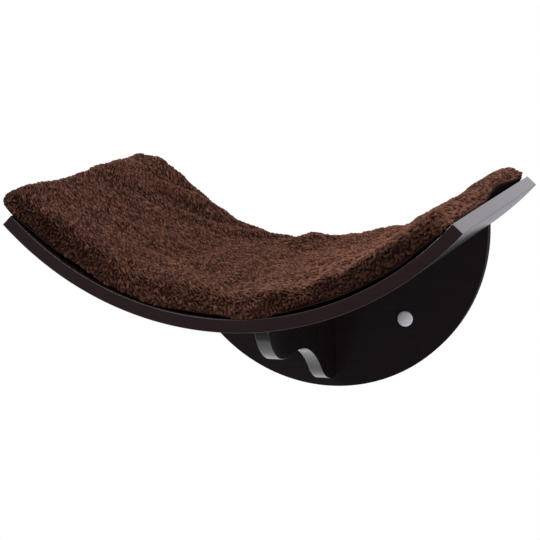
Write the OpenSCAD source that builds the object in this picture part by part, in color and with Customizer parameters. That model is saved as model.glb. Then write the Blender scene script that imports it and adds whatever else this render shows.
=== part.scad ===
// Curved cat shelf for a wall: a bent seat board on a half-moon back board and
// a two-lobe centre bracket, with a lift-off plush cushion.
// The wall is the plane y = 0 and the shelf reaches out along -Y. The origin is
// the midpoint of the two wall-screw holes on the wall plane.

/* [Seat board] */
// Length of the seat from tip to tip
seat_len = 410; // [380:1:430]
// Depth of the seat from the wall to the front edge
seat_depth = 280; // [260:1:300]
// Thickness of the bent board
seat_t = 11.5; // [10:0.5:14]
// Radius of the seat's upper face
seat_ri = 270.5; // [260:0.5:290]

/* [Back board] */
// Radius of the half-moon
board_r = 161; // [150:1:170]
// Thickness of the back board
board_t = 12; // [10:0.5:14]
// Height of the half-moon's centre above the lowest point of the seat's underside
board_rise = 48; // [40:1:50]

/* [Centre bracket] */
// Thickness of the bracket
bracket_t = 13; // [11:0.5:16]
// Distance of the bracket's nose from the wall
bracket_reach = 200; // [190:1:220]
// Height of the front lobe
lobe1_h = 51; // [48:1:55]
// Radius of the front lobe's nose
lobe1_r = 46; // [40:1:46]
// Height of the rear lobe
lobe2_h = 101; // [98:1:103]
// Radius of the rear lobe's nose
lobe2_r = 46; // [43:1:47]
// Radius of the hollow between the lobes
hollow_r = 85; // [80:1:88]
// Distance of the start of the hollow from the wall
hollow_y = 125; // [124:1:132]

/* [Wall fixing] */
// Distance between the two wall-screw holes
wall_hole_gap = 156; // [140:1:170]
// Height of the seat's lowest underside point above the wall-screw holes
wall_hole_drop = 42; // [36:1:48]
// Diameter of the wall-screw holes
wall_hole_d = 5.5; // [4.5:0.1:6.5]
// Diameter of the recess for the wall screw's head
recess_d = 12; // [11:0.5:13]
// Depth of the recess for the wall screw's head
recess_depth = 4; // [3.5:0.5:5]

/* [Screw caps] */
// Diameter of the cap's visible head
cap_d = 15; // [14.5:0.5:18]
// Height of the cap's visible head
cap_h = 3; // [2.4:0.2:4]
// Rise of the cap's domed face over its rim
cap_dome = 1.3; // [0.8:0.1:1.6]

/* [Assembly screws] */
// Diameter of the screw's thread
screw_d = 4; // [3.5:0.1:4.5]
// Diameter of the countersunk head
screw_head_d = 8; // [7.5:0.1:8.5]
// Width across the flats of the hex socket
socket_af = 2.5; // [2:0.5:3]
// Length of the screws from the back board into the bracket
rear_screw_len = 40; // [30:1:40]
// Length of the screws from the seat into the bracket
top_screw_len = 38; // [30:1:40]
// Length of the screws from the seat into the back board
edge_screw_len = 36; // [30:1:40]

/* [Cushion] */
// Height of the cushion's top above the seat's upper face
cushion_top = 26; // [22:0.5:30]
// Half angle of the arc that the cushion covers
cushion_half = 48.4; // [44:0.1:49]
// Angle by which the cushion lies off centre
cushion_off = -1.8; // [-2:0.1:1]
// Distance of the cushion's front from the wall
cushion_front = 279; // [262:1:279]
// Distance of the cushion's rear from the wall
cushion_rear = 2; // [2:1:12]
// Thickness of the plush cover with its pile
cover_t = 5; // [4:0.5:7]
// Thickness of the underside cloth
base_t = 1.2; // [0.8:0.1:2]

/* [Hook and loop tape] */
// Thickness of each tape
tape_t = 1.2; // [1:0.1:1.5]
// Width of the tape
tape_w = 25; // [20:1:30]
// Length of the tape
tape_len = 200; // [150:5:220]
// Angle of the tape's middle from the centre of the arc
tape_at = 33; // [28:1:36]

/* [Hidden] */
$fn = 96;

seat_ro = seat_ri + seat_t;                 // underside radius
seat_half = asin(seat_len / 2 / seat_ro);   // half angle of the seat
zc = wall_hole_drop + seat_ro;              // height of the arc's axis
z0 = wall_hole_drop;                        // lowest point of the underside
tape_gap = 0.3;                             // rest gap between hook and loop
c_bot = seat_ri - 2 * tape_t - tape_gap;    // cushion's underside radius
c_top = seat_ri - cushion_top;              // cushion's top radius
c_lo = cushion_off - cushion_half;
c_hi = cushion_off + cushion_half;
run = 0.05;                                 // room around a screw in its hole
screw_r = screw_d / 2;
head_r = screw_head_d / 2;
rear_screw_z = [-32, -74];                  // heights below the seat's low point
top_screw_y = [-62, -160];
edge_screw_at = 18.5;                       // angle of the seat to board screws
brown = [0.15, 0.11, 0.115];
plush = [0.36, 0.23, 0.19];

// A screw along -Z with its flat head at z = 0. With room > 0 it is the hole
// that the screw sits in.
module screw_body(len, room = 0) {
  top = room > 0 ? 0.5 : 0;
  rotate_extrude()
    polygon([
      [0, top],
      [head_r + room, top],
      [head_r + room, -0.4],
      [screw_r + room, -0.4 - head_r + screw_r],
      [screw_r + room, -len + 4],
      [0.6 + room, -len - room],
      [0, -len - room]
    ]);
}

module screw(len) {
  difference() {
    screw_body(len);
    translate([0, 0, -2.2])
      cylinder(d = socket_af / cos(30), h = 4, $fn = 6);
  }
}

// Ring sector around the arc's axis, from radius r1 to r2 and from angle a1 to
// a2 (0 points down), between y1 and y2.
module arc_slab(r1, r2, a1, a2, y1, y2) {
  far = 4 * r2;
  am = (a1 + a2) / 2;
  translate([0, y2, zc]) rotate([90, 0, 0])
    linear_extrude(y2 - y1)
      intersection() {
        difference() { circle(r2, $fn = 360); circle(r1, $fn = 360); }
        polygon([[0, 0], [far * sin(a1), -far * cos(a1)],
                 [far * sin(am), -far * cos(am)],
                 [far * sin(a2), -far * cos(a2)]]);
      }
}

// Where the screws sit
module at_bracket_rear() {
  for (z = rear_screw_z)
    translate([0, 0, z0 + z]) rotate([-90, 0, 0]) children();
}
module at_bracket_top() {
  for (y = top_screw_y)
    translate([0, y, z0 + seat_t]) children();
}
module at_seat_rear() {
  for (s = [-1, 1])
    translate([0, -board_t / 2, zc]) rotate([0, -s * edge_screw_at, 0])
      translate([0, 0, -seat_ri]) children();
}
module at_wall_holes() {
  for (s = [-1, 1])
    translate([s * wall_hole_gap / 2, 0, 0]) rotate([90, 0, 0]) children();
}

module seat_board() {
  color(brown)
    difference() {
      arc_slab(seat_ri, seat_ro, -seat_half, seat_half, -seat_depth, 0);
      at_bracket_top() screw_body(top_screw_len, run);
      at_seat_rear() screw_body(edge_screw_len, run);
    }
}

module back_board() {
  color(brown)
    difference() {
      translate([0, 0, z0 + board_rise]) rotate([90, 0, 0])
        cylinder(r = board_r, h = board_t, $fn = 360);
      translate([0, 1, zc]) rotate([90, 0, 0])
        cylinder(r = seat_ro, h = board_t + 2, $fn = 360);
      at_wall_holes() {
        translate([0, 0, -1]) cylinder(d = wall_hole_d, h = board_t + 2);
        translate([0, 0, board_t - recess_depth])
          cylinder(d = recess_d, h = recess_depth + 1);
      }
      at_bracket_rear() screw_body(rear_screw_len, run);
      at_seat_rear() screw_body(edge_screw_len, run);
    }
}

// Outline of the bracket: u is the distance from the wall, v the height from
// the lowest point of the seat's underside.
module bracket_outline() {
  rise = 2;
  h1 = [hollow_y, -lobe1_h - hollow_r];
  v2 = -lobe2_h + lobe2_r;
  h2 = [hollow_y - sqrt(pow(hollow_r + lobe2_r, 2) - pow(v2 - h1[1], 2)), v2];
  meet = h1 + (h2 - h1) * hollow_r / (hollow_r + lobe2_r);
  nose = [bracket_reach - lobe1_r, -lobe1_h + lobe1_r];
  intersection() {
    union() {
      translate([nose[0], nose[1]]) square([lobe1_r, rise - nose[1]]);
      translate(nose) circle(lobe1_r, $fn = 180);
      translate([hollow_y, -lobe1_h])
        square([nose[0] - hollow_y, lobe1_h + rise]);
      difference() {
        translate([meet[0], meet[1]])
          square([hollow_y - meet[0] + 1, rise - meet[1]]);
        translate(h1) circle(hollow_r, $fn = 360);
      }
      translate([board_t - 1, meet[1]])
        square([meet[0] - board_t + 1.01, rise - meet[1]]);
      translate(h2) circle(lobe2_r, $fn = 180);
      translate([board_t - 1, -lobe2_h])
        square([max(h2[0] - board_t + 1, 0.5), lobe2_h + rise]);
    }
    translate([board_t, -2 * lobe2_h])
      square([bracket_reach, 2 * lobe2_h + rise]);
  }
}

module support_bracket() {
  color(brown)
    difference() {
      translate([bracket_t / 2, 0, z0]) rotate([90, 0, -90])
        linear_extrude(bracket_t) bracket_outline();
      translate([0, 1, zc]) rotate([90, 0, 0])
        cylinder(r = seat_ro, h = seat_depth + 2, $fn = 360);
      at_bracket_rear() screw_body(rear_screw_len, run);
      at_bracket_top() screw_body(top_screw_len, run);
    }
}

module bracket_rear_screws() { color("silver") at_bracket_rear() screw(rear_screw_len); }
module bracket_top_screws() { color("silver") at_bracket_top() screw(top_screw_len); }
module seat_rear_screws() { color("silver") at_seat_rear() screw(edge_screw_len); }

// Push-in cap: a domed head that lies on the board and a hollow skirt that goes
// round the wall screw's head in the recess.
module wall_screw_cap(s) {
  skirt_r = recess_d / 2 - 0.3;
  dome_r = (cap_d * cap_d / 4 + cap_dome * cap_dome) / (2 * cap_dome);
  translate([s * wall_hole_gap / 2, -board_t, 0]) rotate([90, 0, 0]) {
    rotate_extrude()
      intersection() {
        square([cap_d / 2, cap_h]);
        translate([0, cap_h - dome_r]) circle(dome_r, $fn = 360);
      }
    rotate_extrude()
      translate([skirt_r - 1, -3]) square([1, 3.5]);
  }
}
module wall_screw_cap_left() { color([0.62, 0.61, 0.64]) wall_screw_cap(-1); }
module wall_screw_cap_right() { color([0.62, 0.61, 0.64]) wall_screw_cap(1); }

// Tapes run from front to back, one near each raised end.
module tapes(r1, r2) {
  half = tape_w / 2 / seat_ri * 180 / PI;
  mid = -(cushion_front + cushion_rear) / 2;
  for (s = [-1, 1])
    arc_slab(r1, r2, s * tape_at - half, s * tape_at + half,
             mid - tape_len / 2, mid + tape_len / 2);
}
module hook_strips() { color([0.08, 0.07, 0.07]) tapes(seat_ri - tape_t, seat_ri); }
module loop_strips() { color([0.1, 0.08, 0.08]) tapes(c_bot, c_bot + tape_t); }

module cushion_base_panel() {
  color([0.17, 0.11, 0.1])
    arc_slab(c_bot - base_t, c_bot, c_lo, c_hi, -cushion_front, -cushion_rear);
}

// The filling leaves the wall of the cover free all round.
module cushion_inside(room) {
  a = (cover_t + room) / c_bot * 180 / PI;
  arc_slab(c_top + cover_t + room, c_bot - base_t - (room > 0 ? room : -1),
           c_lo + a, c_hi - a,
           -cushion_front + cover_t + room, -cushion_rear - cover_t - room);
}
module cushion_filling() { color([0.92, 0.91, 0.88]) cushion_inside(0.1); }
module cushion_top_cover() {
  color(plush)
    difference() {
      arc_slab(c_top, c_bot - base_t, c_lo, c_hi, -cushion_front, -cushion_rear);
      cushion_inside(0);
    }
}

seat_board();
back_board();
support_bracket();
bracket_rear_screws();
bracket_top_screws();
seat_rear_screws();
wall_screw_cap_left();
wall_screw_cap_right();
hook_strips();
loop_strips();
cushion_base_panel();
cushion_filling();
cushion_top_cover();
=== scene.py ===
import math

import bpy
import numpy as np
from mathutils import Matrix, Vector, geometry, kdtree


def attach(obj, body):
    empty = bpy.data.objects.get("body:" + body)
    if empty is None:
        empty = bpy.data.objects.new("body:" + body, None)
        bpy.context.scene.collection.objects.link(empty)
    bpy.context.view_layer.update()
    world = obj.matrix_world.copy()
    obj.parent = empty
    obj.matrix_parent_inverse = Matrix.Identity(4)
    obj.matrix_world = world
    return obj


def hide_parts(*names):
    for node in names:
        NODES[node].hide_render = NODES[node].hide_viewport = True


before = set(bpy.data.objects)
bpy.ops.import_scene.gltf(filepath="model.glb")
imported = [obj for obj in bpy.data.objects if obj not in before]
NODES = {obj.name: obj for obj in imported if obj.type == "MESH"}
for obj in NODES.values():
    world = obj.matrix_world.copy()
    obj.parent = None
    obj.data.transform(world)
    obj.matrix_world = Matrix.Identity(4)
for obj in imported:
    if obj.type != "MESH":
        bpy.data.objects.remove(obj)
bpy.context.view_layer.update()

MM = 0.001

# ------------------------------------------------------------------ dimensions
# All in millimetres, the same values as the construction.
Z0 = 42.0               # lowest point of the seat's underside
RI, RO = 270.5, 282.0   # seat's upper and lower radius
ZC = Z0 + RO            # height of the arc's axis
SEAT_HALF = math.asin(205.0 / RO)
SEAT_DEPTH = 280.0
BOARD_R, BOARD_T, BOARD_Z = 161.0, 12.0, Z0 + 48.0
BRACKET_T = 13.0
ARRIS = 0.5             # rounding of the wooden edges


def arc_point(phi, y, r):
    """Points of the cradle: phi from straight down, in radians, r from the arc's axis."""
    return np.stack([r * np.sin(phi), y, ZC - r * np.cos(phi)], axis=-1)


def new_object(name, mesh):
    ob = bpy.data.objects.new(name, mesh)
    bpy.context.scene.collection.objects.link(ob)
    return ob


def make_mesh(name, verts_mm, faces, smooth=True):
    me = bpy.data.meshes.new(name)
    me.from_pydata((np.asarray(verts_mm, float) * MM).tolist(), [], faces)
    me.validate()
    me.update()
    me.polygons.foreach_set("use_smooth", [smooth] * len(me.polygons))
    return me


def weighted_normals(ob, sharp_deg=50):
    """Flat faces stay flat and the small rounded edges carry the turn of the surface."""
    ob.data.set_sharp_from_angle(angle=math.radians(sharp_deg))
    m = ob.modifiers.new("flat_faces", "WEIGHTED_NORMAL")
    m.mode = "FACE_AREA"
    m.weight = 60
    m.keep_sharp = True


# ------------------------------------------------------------------ node helpers
class Mat:
    """A node material; every method adds a node and returns its output socket."""

    def __init__(self, name):
        self.m = bpy.data.materials.new(name)
        self.m.use_nodes = True
        self.t = self.m.node_tree
        self.bsdf = next(n for n in self.t.nodes if n.type == "BSDF_PRINCIPLED")

    def put(self, socket, value):
        s = self.bsdf.inputs[socket]
        if isinstance(value, bpy.types.NodeSocket):
            self.t.links.new(value, s)
        else:
            s.default_value = value

    def _set(self, node, key, value):
        s = node.inputs[key]
        if isinstance(value, bpy.types.NodeSocket):
            self.t.links.new(value, s)
        else:
            s.default_value = value

    def coords(self, kind="Object", scale=(1, 1, 1), rotation=(0, 0, 0)):
        c = self.t.nodes.new("ShaderNodeTexCoord")
        m = self.t.nodes.new("ShaderNodeMapping")
        m.inputs["Scale"].default_value = scale
        m.inputs["Rotation"].default_value = rotation
        self.t.links.new(c.outputs[kind], m.inputs["Vector"])
        return m.outputs[0]

    def slanted(self, kind, angle, size):
        """Coordinates turned by an angle, with cells of the given size along and across it."""
        c = self.t.nodes.new("ShaderNodeTexCoord")
        m = self.t.nodes.new("ShaderNodeMapping")
        m.vector_type = "TEXTURE"
        m.inputs["Rotation"].default_value = (0, 0, angle)
        m.inputs["Scale"].default_value = (size[0], size[1], 1)
        self.t.links.new(c.outputs[kind], m.inputs["Vector"])
        return m.outputs[0]

    def noise(self, vector, scale, detail=3.0, rough=0.5, distortion=0.0):
        n = self.t.nodes.new("ShaderNodeTexNoise")
        self.t.links.new(vector, n.inputs["Vector"])
        n.inputs["Scale"].default_value = scale
        n.inputs["Detail"].default_value = detail
        n.inputs["Roughness"].default_value = rough
        n.inputs["Distortion"].default_value = distortion
        return n.outputs[0]

    def voronoi(self, vector, scale, feature="F1"):
        n = self.t.nodes.new("ShaderNodeTexVoronoi")
        n.feature = feature
        self.t.links.new(vector, n.inputs["Vector"])
        n.inputs["Scale"].default_value = scale
        return n.outputs["Distance"]

    def wave(self, vector, scale, distortion=0.0, detail=2.0, direction="X"):
        n = self.t.nodes.new("ShaderNodeTexWave")
        n.bands_direction = direction
        self.t.links.new(vector, n.inputs["Vector"])
        n.inputs["Scale"].default_value = scale
        n.inputs["Distortion"].default_value = distortion
        n.inputs["Detail"].default_value = detail
        return n.outputs["Fac"]

    def attribute(self, name):
        n = self.t.nodes.new("ShaderNodeAttribute")
        n.attribute_name = name
        return n.outputs["Fac"]

    def remap(self, value, a, b, c, d):
        n = self.t.nodes.new("ShaderNodeMapRange")
        n.clamp = True
        self.t.links.new(value, n.inputs["Value"])
        for k, v in zip(("From Min", "From Max", "To Min", "To Max"), (a, b, c, d)):
            n.inputs[k].default_value = v
        return n.outputs[0]

    def math(self, op, a, b=0.0, c=0.0):
        n = self.t.nodes.new("ShaderNodeMath")
        n.operation = op
        self._set(n, 0, a)
        self._set(n, 1, b)
        if op == "MULTIPLY_ADD":
            self._set(n, 2, c)
        return n.outputs[0]

    def combine(self, x, y, z):
        n = self.t.nodes.new("ShaderNodeCombineXYZ")
        for i, v in enumerate((x, y, z)):
            self._set(n, i, v)
        return n.outputs[0]

    def ramp(self, value, stops):
        n = self.t.nodes.new("ShaderNodeValToRGB")
        e = n.color_ramp.elements
        while len(e) < len(stops):
            e.new(0.5)
        for el, (p, col) in zip(e, stops):
            el.position = p
            el.color = (*col, 1)
        self.t.links.new(value, n.inputs[0])
        return n.outputs[0]

    def mix(self, fac, a, b, blend="MIX"):
        n = self.t.nodes.new("ShaderNodeMix")
        n.data_type = "RGBA"
        n.blend_type = blend
        for i, v in ((0, fac), (6, a), (7, b)):
            if isinstance(v, bpy.types.NodeSocket):
                self.t.links.new(v, n.inputs[i])
            else:
                n.inputs[i].default_value = v if i == 0 else (*v, 1)
        return n.outputs[2]

    def bump(self, height, strength, distance, normal=None):
        n = self.t.nodes.new("ShaderNodeBump")
        n.inputs["Strength"].default_value = strength
        n.inputs["Distance"].default_value = distance
        self.t.links.new(height, n.inputs["Height"])
        if normal is not None:
            self.t.links.new(normal, n.inputs["Normal"])
        return n.outputs[0]


def lacquer(name, grain, dark, light, rough=(0.24, 0.34), spec=0.5):
    """Dark espresso lacquer on wood: a faint long grain under a satin finish with a slight orange peel."""
    k = Mat(name)
    stretch = {"x": (3, 60, 60), "y": (60, 3, 60), "z": (60, 60, 3)}[grain]
    long = k.noise(k.coords(scale=stretch), 5.0, 4, 0.6, 0.4)
    cloud = k.noise(k.coords(), 9.0, 3, 0.55)
    fine = k.noise(k.coords(scale=tuple(4 * s for s in stretch)), 6.0, 2, 0.5)
    base = k.ramp(long, [(0.30, dark), (0.70, light)])
    base = k.mix(k.remap(cloud, 0.35, 0.7, 0.0, 0.35), base, tuple(0.88 * v for v in dark))
    k.put("Base Color", base)
    k.put("Roughness", k.remap(cloud, 0.3, 0.7, *rough))
    k.put("Specular IOR Level", spec)
    peel = k.noise(k.coords(), 420.0, 2, 0.5)
    n = k.bump(peel, 0.10, 0.00012)
    n = k.bump(fine, 0.10, 0.00015, n)
    k.put("Normal", n)
    return k.m


def steel(name):
    """Zinc-plated steel."""
    k = Mat(name)
    spots = k.noise(k.coords(), 900.0, 3, 0.6)
    k.put("Base Color", k.ramp(spots, [(0.3, (0.46, 0.45, 0.43)), (0.7, (0.62, 0.61, 0.58))]))
    k.put("Metallic", 1.0)
    k.put("Roughness", k.remap(spots, 0.3, 0.7, 0.24, 0.40))
    k.put("Normal", k.bump(k.noise(k.coords(), 2600.0, 2, 0.5), 0.15, 0.00005))
    return k.m


def cap_plastic(name):
    """Satin grey moulded plastic."""
    k = Mat(name)
    cloud = k.noise(k.coords(), 160.0, 3, 0.55)
    k.put("Base Color", k.ramp(cloud, [(0.3, (0.84, 0.83, 0.86)), (0.7, (0.90, 0.89, 0.92))]))
    k.put("Roughness", k.remap(cloud, 0.3, 0.7, 0.36, 0.46))
    k.put("Normal", k.bump(k.noise(k.coords(), 2400.0, 2, 0.5), 0.12, 0.00004))
    return k.m


def tape(name, dark, light):
    """Woven nylon tape."""
    k = Mat(name)
    a = k.wave(k.coords(scale=(1, 1, 1)), 260.0, 0.4, 1, "Y")
    b = k.noise(k.coords(), 900.0, 3, 0.6)
    mixed = k.math("MULTIPLY_ADD", a, 0.35, k.math("MULTIPLY", b, 0.65))
    k.put("Base Color", k.ramp(mixed, [(0.25, dark), (0.75, light)]))
    k.put("Roughness", k.remap(b, 0.3, 0.7, 0.5, 0.75))
    k.put("Sheen Weight", 0.15)
    k.put("Normal", k.bump(mixed, 0.4, 0.0002))
    return k.m


def woven(name):
    """Smooth dark brown base cloth with a plain weave."""
    k = Mat(name)
    warp = k.wave(k.coords("UV", scale=(1, 1, 1)), 190.0, 0.25, 1, "X")
    weft = k.wave(k.coords("UV", scale=(1, 1, 1)), 190.0, 0.25, 1, "Y")
    cross = k.math("MULTIPLY", warp, weft)
    cloud = k.noise(k.coords(), 30.0, 4, 0.6)
    weave = k.math("MULTIPLY_ADD", cross, 0.6, k.math("MULTIPLY", cloud, 0.4))
    k.put("Base Color", k.ramp(weave, [(0.1, (0.0120, 0.0056, 0.0046)), (0.7, (0.034, 0.0166, 0.0136))]))
    k.put("Roughness", k.remap(cloud, 0.3, 0.7, 0.66, 0.88))
    k.put("Specular IOR Level", 0.03)
    k.put("Normal", k.bump(cross, 0.35, 0.00025))
    return k.m


def fibre(name):
    """White polyester wadding."""
    k = Mat(name)
    a = k.noise(k.coords(), 220.0, 6, 0.65, 0.8)
    k.put("Base Color", k.ramp(a, [(0.3, (0.70, 0.69, 0.65)), (0.7, (0.86, 0.85, 0.82))]))
    k.put("Roughness", k.remap(a, 0.3, 0.7, 0.75, 0.95))
    k.put("Sheen Weight", 0.3)
    k.put("Normal", k.bump(a, 0.6, 0.001))
    return k.m


def plush(name):
    """Curly brown pile: painted shade deep between the curls, lighter at the tips, with fine fibres on the curls."""
    k = Mat(name)
    pile = k.attribute("pile")
    tint = k.attribute("tint")
    curly = k.attribute("curly")
    combed = k.noise(k.slanted("UV", math.radians(-27), (6.0 / 474, 1.30 / 474)), 1.0, 2, 0.6)     # strands along the nap
    # strands that follow each tuft
    own = k.combine(k.math("MULTIPLY", k.attribute("across"), 2.1), k.math("MULTIPLY", k.attribute("onward"), 0.9), k.math("MULTIPLY", tint, 57.0))
    tangle = k.math("MULTIPLY_ADD", k.noise(own, 1.0, 2, 0.6), 0.55, k.math("MULTIPLY", k.noise(k.coords(), 760.0, 2, 0.6), 0.45))
    fine = k.noise(k.coords(), 1100.0, 2, 0.6)
    cloud = k.noise(k.coords(), 24.0, 3, 0.55)
    strand = k.math("ADD", k.math("MULTIPLY", combed, k.remap(curly, 0.0, 1.0, 1.0, 0.0)), k.math("MULTIPLY", tangle, curly))
    strand = k.remap(strand, 0.36, 0.64, 0.0, 1.0)
    # the top shows each strand, the sides are softer; the deeper in the pile, the darker: painted shade between the
    # curls
    depth = k.math("MULTIPLY_ADD", pile, k.remap(curly, 0.0, 1.0, 0.96, 0.31), k.remap(curly, 0.0, 1.0, -0.545, 0.135))
    level = k.math("ADD", k.math("MULTIPLY", strand, k.remap(curly, 0.0, 1.0, 0.82, 0.27)), depth)
    level = k.math("MULTIPLY_ADD", fine, 0.24, k.math("ADD", level, -0.12))
    # the cover's attribute of painted light and shade makes the colour lighter or darker
    level = k.math("ADD", level, k.math("MULTIPLY", k.attribute("painted_light_and_shade"), 0.16))
    col = k.ramp(level, [(0.06, (0.0040, 0.0013, 0.0008)), (0.34, (0.0262, 0.0091, 0.0053)),
                         (0.62, (0.0830, 0.0313, 0.0188)), (1.0, (0.1720, 0.0730, 0.0470))])
    col = k.mix(k.remap(tint, 0.0, 1.0, 0.0, 0.36), col, (0.022, 0.0080, 0.0053))
    col = k.mix(k.remap(cloud, 0.35, 0.7, 0.0, 0.08), col, (0.060, 0.0240, 0.0162))
    k.put("Base Color", col)
    k.put("Roughness", k.remap(fine, 0.3, 0.7, 0.78, 0.96))
    k.put("Specular IOR Level", 0.08)
    k.put("Sheen Weight", 0.16)
    k.put("Sheen Roughness", 0.42)
    k.put("Sheen Tint", (0.55, 0.250, 0.160, 1))
    n = k.bump(strand, 0.70, 0.0009)
    n = k.bump(fine, 0.45, 0.0005, n)
    k.put("Normal", n)
    return k.m


def pale_floor(name):
    k = Mat(name)
    n = k.noise(k.coords(), 0.6, 2, 0.5)
    k.put("Base Color", k.ramp(n, [(0.0, (0.93, 0.93, 0.93)), (1.0, (0.95, 0.95, 0.95))]))
    k.put("Roughness", 0.9)
    k.put("Specular IOR Level", 0.0)
    return k.m


# ------------------------------------------------------------------ wooden pieces
def spaced(a, b, step):
    n = max(1, int(round(abs(b - a) / step)))
    return list(np.linspace(a, b, n + 1))


def grid_lines(lo, hi, rho, step, patches):
    """Grid lines from lo to hi, with the lines of the rounded edge, and eight cells over each patch."""
    marks = [lo + rho]
    out = [lo, lo + 0.586 * rho]
    for a, b in sorted(patches):
        if a - marks[-1] > 1e-6:
            out += spaced(marks[-1], a, step)[:-1]
        out += list(np.linspace(a, b, 9))[:-1]
        marks.append(b)
    if hi - rho - marks[-1] > 1e-6:
        out += spaced(marks[-1], hi - rho, step)[:-1]
    out += [hi - rho, hi - 0.586 * rho, hi]
    return np.array(out)


def round_box(p, lo, hi, rho):
    """Rounds the edges of a box: each surface point moves onto the rounded box."""
    q = np.clip(p, lo + rho, hi - rho)
    d = p - q
    n = np.linalg.norm(d, axis=1, keepdims=True)
    return np.where(n > 1e-9, q + rho * d / np.maximum(n, 1e-9), p)


def build_seat():
    rm = 0.5 * (RI + RO)
    half = SEAT_HALF * rm
    holes = [(0.0, -62.0, 8.0), (0.0, -160.0, 8.0),
             (math.radians(-18.5) * rm, -6.0, 6.0 - ARRIS), (math.radians(18.5) * rm, -6.0, 6.0 - ARRIS)]
    us = grid_lines(-half, half, ARRIS, 5.0, sorted({(round(u - h, 4), round(u + h, 4)) for u, _, h in holes}))
    vs = grid_lines(-SEAT_DEPTH, 0.0, ARRIS, 8.0, [(y - h, y + h) for _, y, h in (holes[1], holes[0], holes[2])])
    ws = np.array([RI, RI + 0.586 * ARRIS, RI + ARRIS, rm, RO - ARRIS, RO - 0.586 * ARRIS, RO])
    nu, nv, nw = len(us), len(vs), len(ws)
    index, pts, faces, under = {}, [], [], []

    def vert(i, j, k):
        key = (i, j, k)
        if key not in index:
            index[key] = len(pts)
            pts.append((us[i], vs[j], ws[k]))
        return index[key]

    def cells(h):
        i0 = int(np.argmin(abs(us - (h[0] - h[2]))))
        j0 = int(np.argmin(abs(vs - (h[1] - h[2]))))
        return i0, j0

    cut = set()
    for h in holes:
        i0, j0 = cells(h)
        cut |= {(i, j) for i in range(i0, i0 + 8) for j in range(j0, j0 + 8)}
    for i in range(nu - 1):
        for j in range(nv - 1):
            if (i, j) in cut:
                continue
            faces.append((vert(i, j, 0), vert(i + 1, j, 0), vert(i + 1, j + 1, 0), vert(i, j + 1, 0)))
            under.append(len(faces))
            faces.append((vert(i, j, nw - 1), vert(i, j + 1, nw - 1), vert(i + 1, j + 1, nw - 1), vert(i + 1, j, nw - 1)))
    for i in range(nu - 1):
        for k in range(nw - 1):
            faces.append((vert(i, 0, k), vert(i, 0, k + 1), vert(i + 1, 0, k + 1), vert(i + 1, 0, k)))
            faces.append((vert(i, nv - 1, k), vert(i + 1, nv - 1, k), vert(i + 1, nv - 1, k + 1), vert(i, nv - 1, k + 1)))
    for j in range(nv - 1):
        for k in range(nw - 1):
            faces.append((vert(0, j, k), vert(0, j + 1, k), vert(0, j + 1, k + 1), vert(0, j, k + 1)))
            faces.append((vert(nu - 1, j, k), vert(nu - 1, j, k + 1), vert(nu - 1, j + 1, k + 1), vert(nu - 1, j + 1, k)))
    box = round_box(np.array(pts), np.array([-half, -SEAT_DEPTH, RI]), np.array([half, 0.0, RO]), ARRIS)
    pts = [tuple(p) for p in box]
    # countersunk screw holes, each a sleeve from the upper face to the underside
    for u0, y0, h in holes:
        i0, j0 = cells((u0, y0, h))
        ring = ([(i0 + a, j0) for a in range(8)] + [(i0 + 8, j0 + a) for a in range(8)]
                + [(i0 + 8 - a, j0 + 8) for a in range(8)] + [(i0, j0 + 8 - a) for a in range(8)])
        ang = [math.atan2(vs[j] - y0, us[i] - u0) for i, j in ring]
        sleeve = [[vert(i, j, 0) for i, j in ring]]
        for rad, depth in ((4.25, 0.0), (4.05, 0.2), (4.05, 0.42), (2.06, 2.4), (2.06, RO - RI - 0.2), (2.2, RO - RI)):
            r = RI + depth
            row = []
            for a in ang:
                row.append(len(pts))
                pts.append((u0 + rad * math.cos(a) * rm / r, y0 + rad * math.sin(a), r))
            sleeve.append(row)
        sleeve.append([vert(i, j, nw - 1) for i, j in ring])
        for a, b in zip(sleeve[:-1], sleeve[1:]):
            for n in range(32):
                m = (n + 1) % 32
                faces.append((a[n], a[m], b[m], b[n]))
    p = np.array(pts)
    xyz = arc_point(p[:, 0] / rm, p[:, 1], p[:, 2])
    ob = new_object("seat", make_mesh("seat", xyz, faces))
    # the underside takes the second material, a darker and less glossy copy of the lacquer that paints its shade
    for f in under:
        ob.data.polygons[f].material_index = 1
    weighted_normals(ob)
    return ob


def inset(outline, amount):
    """The closed outline (counter-clockwise) moved inwards, mitred at its corners."""
    p = np.asarray(outline, float)
    a = p - np.roll(p, 1, axis=0)
    b = np.roll(p, -1, axis=0) - p
    a /= np.linalg.norm(a, axis=1, keepdims=True)
    b /= np.linalg.norm(b, axis=1, keepdims=True)
    na, nb = np.stack([-a[:, 1], a[:, 0]], 1), np.stack([-b[:, 1], b[:, 0]], 1)
    m = na + nb
    m /= np.maximum((m * na).sum(1, keepdims=True), 0.25)
    return p + amount * m


def circle(c, r, n=48):
    t = np.arange(n) * 2 * math.pi / n
    return np.stack([c[0] + r * np.cos(t), c[1] + r * np.sin(t)], 1)


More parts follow.
